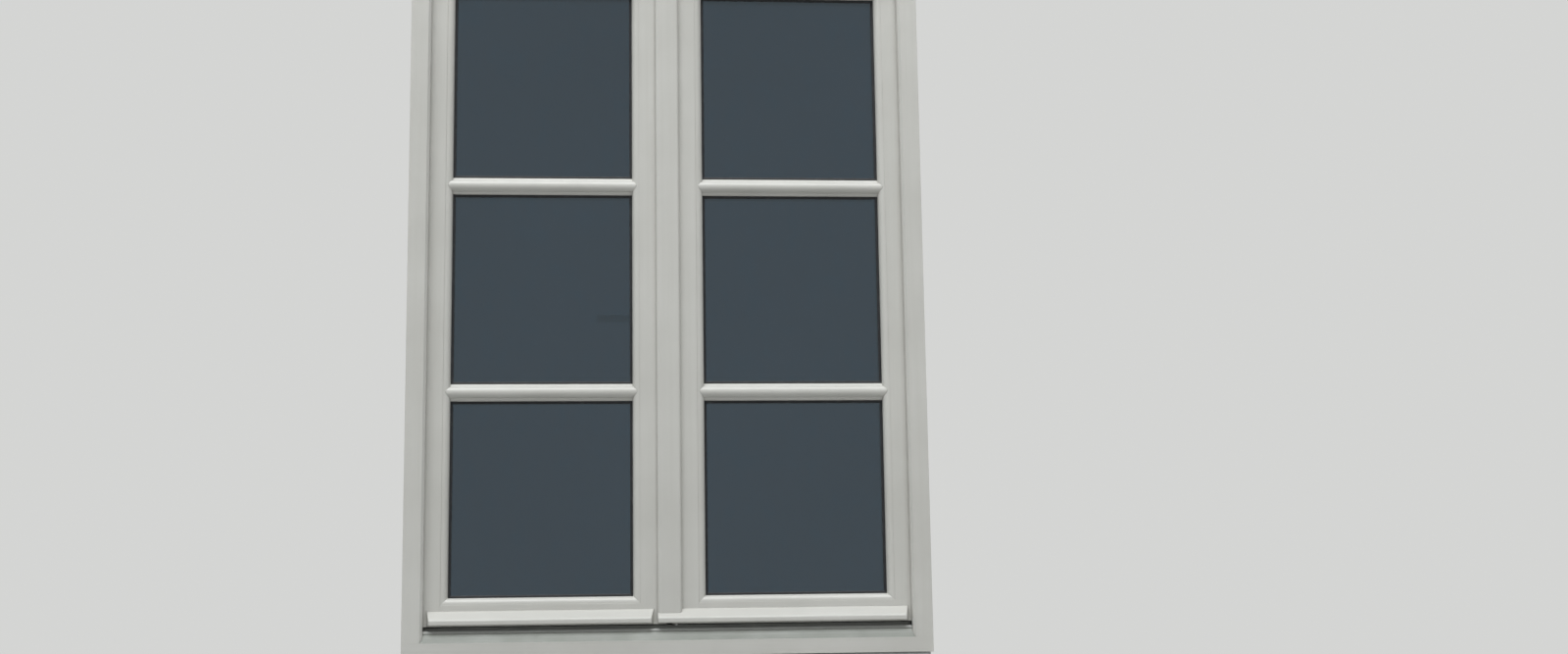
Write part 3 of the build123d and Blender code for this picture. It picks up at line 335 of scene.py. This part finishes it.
painted = {axis: paint(f"paint_{axis}", axis) for axis in "XZ"}
# The sill's paint, with a dirty film and painted shade on its up-facing slopes
sill_paint = paint("paint_sill", "X", film_and_shade=SLOPE_FILM_AND_SHADE_SHARE)
nose_paint = paint("paint_weather_bar", "X", arris_radius=NOSE_ARRIS)
outer_glass = float_glass("outer_glass", OUTER_TINT)
inner_glass = float_glass("inner_glass", INNER_TINT)
spacer_metal = metal("spacer_metal", (0.50, 0.51, 0.52, 1), (0.38, 0.39, 0.40, 1), "Z", 0.42)
rail_metal = metal("rail_metal", (0.38, 0.385, 0.365, 1), (0.27, 0.275, 0.25, 1), "X", 0.62, 0.15)
handle_metal = metal("handle_metal", (0.70, 0.70, 0.71, 1), (0.58, 0.58, 0.59, 1), "X", 0.30)
hinge_metal = metal("hinge_metal", (0.60, 0.60, 0.60, 1), (0.44, 0.44, 0.43, 1), "X", 0.30)
lock_metal = metal("lock_metal", (0.58, 0.58, 0.55, 1), (0.42, 0.41, 0.37, 1), "Z", 0.33)
screw_metal = metal("screw_metal", (0.66, 0.65, 0.60, 1), (0.46, 0.44, 0.38, 1), "X", 0.28)
seal_rubber = dull("seal_rubber", (0.018, 0.018, 0.019, 1), (0.09, 0.085, 0.08, 1), 0.62, 1500.0)
gasket_rubber = dull("gasket_rubber", (0.014, 0.015, 0.017, 1), (0.07, 0.07, 0.07, 1), 0.55, 1800.0)
block_plastic = dull("block_plastic", (0.05, 0.05, 0.055, 1), (0.12, 0.12, 0.12, 1), 0.50, 700.0)

# Timber whose grain runs along x has one of these words in its node's name
LYING = ("rail", "bars", "frame_head")
BY_SLOT = {
    "spacer_metal": spacer_metal,
    "rail_aluminium": rail_metal,
    "handle_metal": handle_metal,
    "hinge_steel": hinge_metal,
    "lock_steel": lock_metal,
    "seal_rubber": seal_rubber,
    "block_plastic": block_plastic,
}


def finish_of(node, slot):
    """The material of one CAD node, from its name and its slot in the record."""
    if node == "frame_bottom_rail":
        return sill_paint
    if "weather_bar" in node:
        return nose_paint
    if slot == "painted_wood":
        return painted["X" if any(word in node for word in LYING) else "Z"]
    if slot == "glass":
        return outer_glass if "outer" in node else inner_glass
    return BY_SLOT[slot]


for part in frame["record"]["subparts"]:
    mesh = nodes[part["node"]].data
    mesh.materials.clear()
    mesh.materials.append(finish_of(part["node"], part["material_slot"]))


def new_object(name, bm, material):
    """Turns a bmesh into an object of the scene."""
    mesh = bpy.data.meshes.new(name)
    bm.to_mesh(mesh)
    bm.free()
    mesh.materials.append(material)
    made = bpy.data.objects.new(name, mesh)
    bpy.context.scene.collection.objects.link(made)
    return made


def piece(name, bm, material, body):
    """Makes a piece that the CAD leaves out and hangs it on a CAD body."""
    bmesh.ops.recalc_face_normals(bm, faces=bm.faces)
    made = new_object(name, bm, material)
    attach(made, body)


def ring(bm, x_span, z_span, profile):
    """A closed frame round a rectangle, mitred at its corners; profile points are (inset, y)."""
    loops = []
    for inset, y in profile:
        left, right = x_span[0] + inset, x_span[1] - inset
        low, high = z_span[0] + inset, z_span[1] - inset
        corners = ((left, low), (right, low), (right, high), (left, high))
        loops.append([bm.verts.new((x, y, z)) for x, z in corners])
    for first, second in zip(loops, loops[1:] + loops[:1]):
        for turn in range(4):
            bm.faces.new((first[turn], first[turn - 1], second[turn - 1], second[turn]))


def gaskets(leaf, face, way, name):
    """Glazing gaskets round the lights of one leaf, on one face of its sealed unit; widened, their black
    also paints the shade along the glass edges.
    """
    profile = [(-GASKET_TUCK, face), (-GASKET_TUCK, face + way * GASKET_HEIGHT)]
    for reach, height in GASKET_PROFILE:
        profile.append((GASKET_AND_SHADE_REACH * reach, face + way * GASKET_HEIGHT * height))
    profile.append((GASKET_AND_SHADE_REACH, face))
    low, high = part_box(f"{leaf}_outer_pane")
    x_span = (low[0] + GLASS_COVER, high[0] - GLASS_COVER)
    bottom, top = low[2] + GLASS_COVER, high[2] - GLASS_COVER
    light = (top - bottom - (PANE_ROWS - 1) * BAR_WIDTH) / PANE_ROWS
    bm = bmesh.new()
    for row in range(PANE_ROWS):
        start = bottom + row * (light + BAR_WIDTH)
        ring(bm, x_span, (start, start + light), profile)
    piece(name, bm, gasket_rubber, f"{leaf}_leaf")


for leaf in ("left", "right"):
    glass_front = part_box(f"{leaf}_outer_pane")[0][1]
    glass_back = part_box(f"{leaf}_inner_pane")[1][1]
    gaskets(leaf, glass_front - GASKET_LIFT, -1, f"{leaf}_outer_gaskets")
    gaskets(leaf, glass_back + GASKET_LIFT, 1, f"{leaf}_inner_gaskets")


def head_half(bm, centre, out, across, lift):
    """One half of a slotted raised screw head: a D-shaped dome beside the slot."""
    along_slot = out.cross(across)
    half_angle = math.acos(SLOT_HALF / HEAD_RADIUS)
    angles = [half_angle * (2 * step / HEAD_STEPS - 1) for step in range(HEAD_STEPS + 1)]
    loops = []
    for share, height in HEAD_RINGS:
        loop = []
        for angle in angles:
            reach = max(HEAD_RADIUS * share * math.cos(angle), SLOT_HALF)
            slide = HEAD_RADIUS * share * math.sin(angle)
            spot = centre + across * reach * lift + along_slot * slide + out * height
            loop.append(bm.verts.new(spot))
        loops.append(loop)
    for first, second in zip(loops, loops[1:]):
        for step in range(HEAD_STEPS):
            bm.faces.new((first[step], first[step + 1], second[step + 1], second[step]))
        bm.faces.new((first[-1], first[0], second[0], second[-1]))
    bm.faces.new(loops[-1])
    bm.faces.new(list(reversed(loops[0])))


def screws(name, body, rows):
    """A group of slotted screw heads; a row holds places, the outward way and the side of a level slot."""
    bm = bmesh.new()
    for places, out, across in rows:
        for turn, place in enumerate(places):
            lean = SLOT_LEAN + SLOT_LEAN_STEP * turn
            aside = Vector(across)
            other = Vector(out).cross(aside)
            way = aside * math.cos(lean) + other * math.sin(lean)
            for lift in (-1, 1):
                head_half(bm, Vector(place), Vector(out), way, lift)
    piece(name, bm, screw_metal, body)


def middle(box, axis):
    return (box[0][axis] + box[1][axis]) / 2


def faceplate_screws():
    plate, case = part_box("faceplate"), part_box("gear_case")
    below, above = plate[0][2] + FACEPLATE_SCREW, plate[1][2] - FACEPLATE_SCREW
    heights = (below, case[0][2] - CASE_SCREW, case[1][2] + CASE_SCREW, above)
    places = [(plate[1][0], middle(plate, 1), height) for height in heights]
    screws("faceplate_screws", "left_leaf", [(places, (1, 0, 0), (0, 1, 0))])


def rose_screws():
    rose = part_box("handle_rose")
    heights = (rose[0][2] + ROSE_SCREW, rose[1][2] - ROSE_SCREW)
    places = [(middle(rose, 0), rose[1][1], height) for height in heights]
    screws("rose_screws", "left_leaf", [(places, (0, 1, 0), (1, 0, 0))])


def bolt_plate_screws():
    lower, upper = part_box("lower_bolt_plate"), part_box("upper_bolt_plate")
    heights = (lower[1][2] - BOLT_PLATE_SCREW, upper[0][2] + BOLT_PLATE_SCREW)
    places = [(lower[0][0], middle(lower, 1), height) for height in heights]
    screws("bolt_plate_screws", "right_leaf", [(places, (-1, 0, 0), (0, 1, 0))])


def keep_screws():
    rows = []
    for node, face, way in (("head_keep", 0, -1), ("bottom_keep", 1, 1)):
        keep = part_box(node)
        ends = (keep[0][0] + KEEP_SCREW, keep[1][0] - KEEP_SCREW)
        rows.append(([(x, middle(keep, 1), keep[face][2]) for x in ends], (0, 0, way), (1, 0, 0)))
    screws("keep_screws", "frame", rows)


faceplate_screws()
rose_screws()
bolt_plate_screws()
keep_screws()


def seen_ray(tree):
    """1 for the rays that show a surface to the camera, straight, mirrored or through glass."""
    path = tree.nodes.new("ShaderNodeLightPath")
    seen = path.outputs["Is Camera Ray"]
    for ray in ("Is Glossy Ray", "Is Transmission Ray"):
        either = tree.nodes.new("ShaderNodeMath")
        either.operation = "MAXIMUM"
        tree.links.new(seen, either.inputs[0])
        tree.links.new(path.outputs[ray], either.inputs[1])
        seen = either.outputs["Value"]
    return seen


def plain_floor(name):
    """Matt floor that takes the object's shadow and melts into the background further off."""
    shader = Shader(name)
    cloud = shader.noise((0.7, 0.7, 0.7), 3.0)
    shader.set(Base_Color=shader.mix(cloud, FLOOR_COLOUR, scaled(FLOOR_COLOUR, FLOOR_CLOUD)), Roughness=0.85)
    distance = shader.node("VectorMath")
    distance.operation = "LENGTH"
    shader.feed(distance.inputs[0], shader.place)
    away = shader.ramp(distance.outputs["Value"], FLOOR_FADE_START, FLOOR_FADE_END)
    background = shader.node("Emission")
    shader.feed(background.inputs["Color"], BACKGROUND)
    blend = shader.node("MixShader")
    shader.feed(blend.inputs["Fac"], shader.product(away, seen_ray(shader.tree)))
    shader.feed(blend.inputs[1], shader.surface.outputs["BSDF"])
    shader.feed(blend.inputs[2], background.outputs["Emission"])
    shader.feed(shader.tree.nodes["Material Output"].inputs["Surface"], blend.outputs["Shader"])
    return shader.material


def stage_mesh(name, bm, material):
    """Makes a piece of the stage, which isn't part of the window."""
    made = new_object(name, bm, material)


# Stage: a plain pale floor and a low block under the frame
pale = plain_floor("pale_floor")
bm = bmesh.new()
bmesh.ops.create_grid(bm, x_segments=1, y_segments=1, size=FLOOR_HALF)
bmesh.ops.translate(bm, verts=bm.verts, vec=(0, 0, FLOOR_Z))
stage_mesh("floor", bm, pale)
bm = bmesh.new()
bmesh.ops.create_cube(bm, size=1.0)
bmesh.ops.scale(bm, verts=bm.verts, vec=(BLOCK_WIDTH, BLOCK_DEPTH, -FLOOR_Z - BLOCK_GAP))
bmesh.ops.translate(bm, verts=bm.verts, vec=(0, 0, (FLOOR_Z - BLOCK_GAP) / 2))
bmesh.ops.bevel(bm, geom=bm.edges[:], offset=BLOCK_ARRIS, segments=3, affect="EDGES", profile=0.5)
stage_mesh("block", bm, pale)

camera_data = bpy.data.cameras.new("camera")
camera_data.sensor_width = SENSOR_WIDTH
camera_data.lens = CAMERA_LENS
camera = bpy.data.objects.new("camera", camera_data)
camera.location = CAMERA_PLACE
camera.rotation_euler = Euler([math.radians(angle) for angle in CAMERA_TURN], "XYZ")
bpy.context.scene.collection.objects.link(camera)
bpy.context.scene.camera = camera


def lamp(name, place, size, power, colour):
    """A soft lamp that lights the window and isn't seen itself, but for its mirror image."""
    data = bpy.data.lights.new(name, "AREA")
    data.shape = "RECTANGLE"
    data.size, data.size_y = size
    data.energy = power
    data.color = colour
    made = bpy.data.objects.new(name, data)
    made.location = place
    made.rotation_euler = (Vector(LAMP_TARGET) - Vector(place)).to_track_quat("-Z", "Y").to_euler()
    made.visible_camera = False
    made.visible_transmission = False
    bpy.context.scene.collection.objects.link(made)


lamp("sky_front", (-0.9, -3.5, 7.5), (7.5, 3.8), 650.0, (0.97, 0.99, 1.0))
lamp("sky_back", (1.6, 3.4, 7.0), (5.0, 3.2), 200.0, (1.0, 0.98, 0.96))

# World: seen rays get the plain background, all others the light of the sky
world = bpy.data.worlds.new("studio")
bpy.context.scene.world = world
world.use_nodes = True
tree = world.node_tree
tree.nodes.clear()
output = tree.nodes.new("ShaderNodeOutputWorld")
shown = tree.nodes.new("ShaderNodeBackground")
shown.inputs["Color"].default_value = BACKGROUND
sky = tree.nodes.new("ShaderNodeBackground")
sky.inputs["Color"].default_value = SKY_COLOUR
sky.inputs["Strength"].default_value = SKY_STRENGTH
choice = tree.nodes.new("ShaderNodeMixShader")
tree.links.new(seen_ray(tree), choice.inputs["Fac"])
tree.links.new(sky.outputs["Background"], choice.inputs[1])
tree.links.new(shown.outputs["Background"], choice.inputs[2])
tree.links.new(choice.outputs["Shader"], output.inputs["Surface"])

bpy.context.scene.view_settings.view_transform = "Standard"
